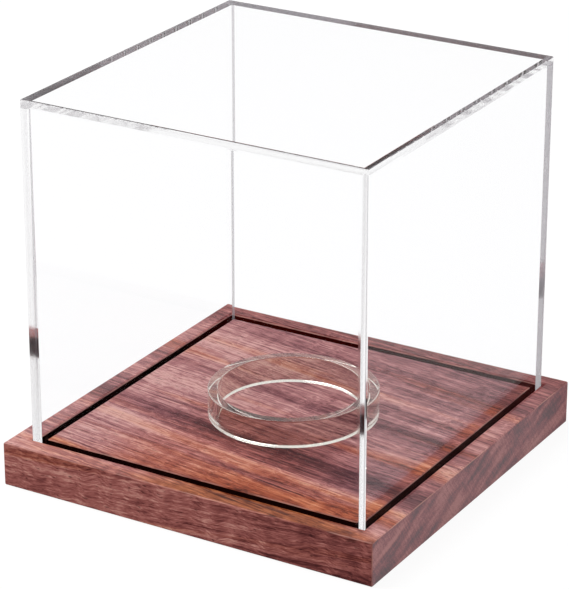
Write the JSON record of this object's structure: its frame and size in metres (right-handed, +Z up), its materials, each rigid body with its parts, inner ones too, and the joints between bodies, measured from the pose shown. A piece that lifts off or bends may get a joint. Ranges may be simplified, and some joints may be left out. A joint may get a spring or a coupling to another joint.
{
  "type": "ball display case",
  "caption": "Clear cube display case for a ball: grooved square wood base, lift-off clear cover and clear ring stand.",
  "frame": {"origin": "centre of the wood base's underside, which is where the case stands", "axes": "+Z up, along the case's height; -Y is the front, where the side walls' cut edges show; +X is to the right seen from the front"},
  "size_m": [0.1, 0.1, 0.096],
  "materials": {
    "wood": "satin",
    "clear_sheet": "polished",
    "clear_tube": "polished"
  },
  "bodies": {
    "wood_base": {"wood_base": "wood"},
    "cover": {"cover_top": "clear_sheet", "cover_front": "clear_sheet", "cover_back": "clear_sheet", "cover_left": "clear_sheet", "cover_right": "clear_sheet"},
    "ring_stand": {"ring_stand": "clear_tube"}
  },
  "joints": [
    {"name": "cover_lift", "type": "slide", "parent": "wood_base", "child": "cover", "axis": [0, 0, 1], "range_m": [0, 0.12]},
    {"name": "ring_lift", "type": "slide", "parent": "wood_base", "child": "ring_stand", "axis": [0, 0, 1], "range_m": [0, 0.07]}
  ]
}
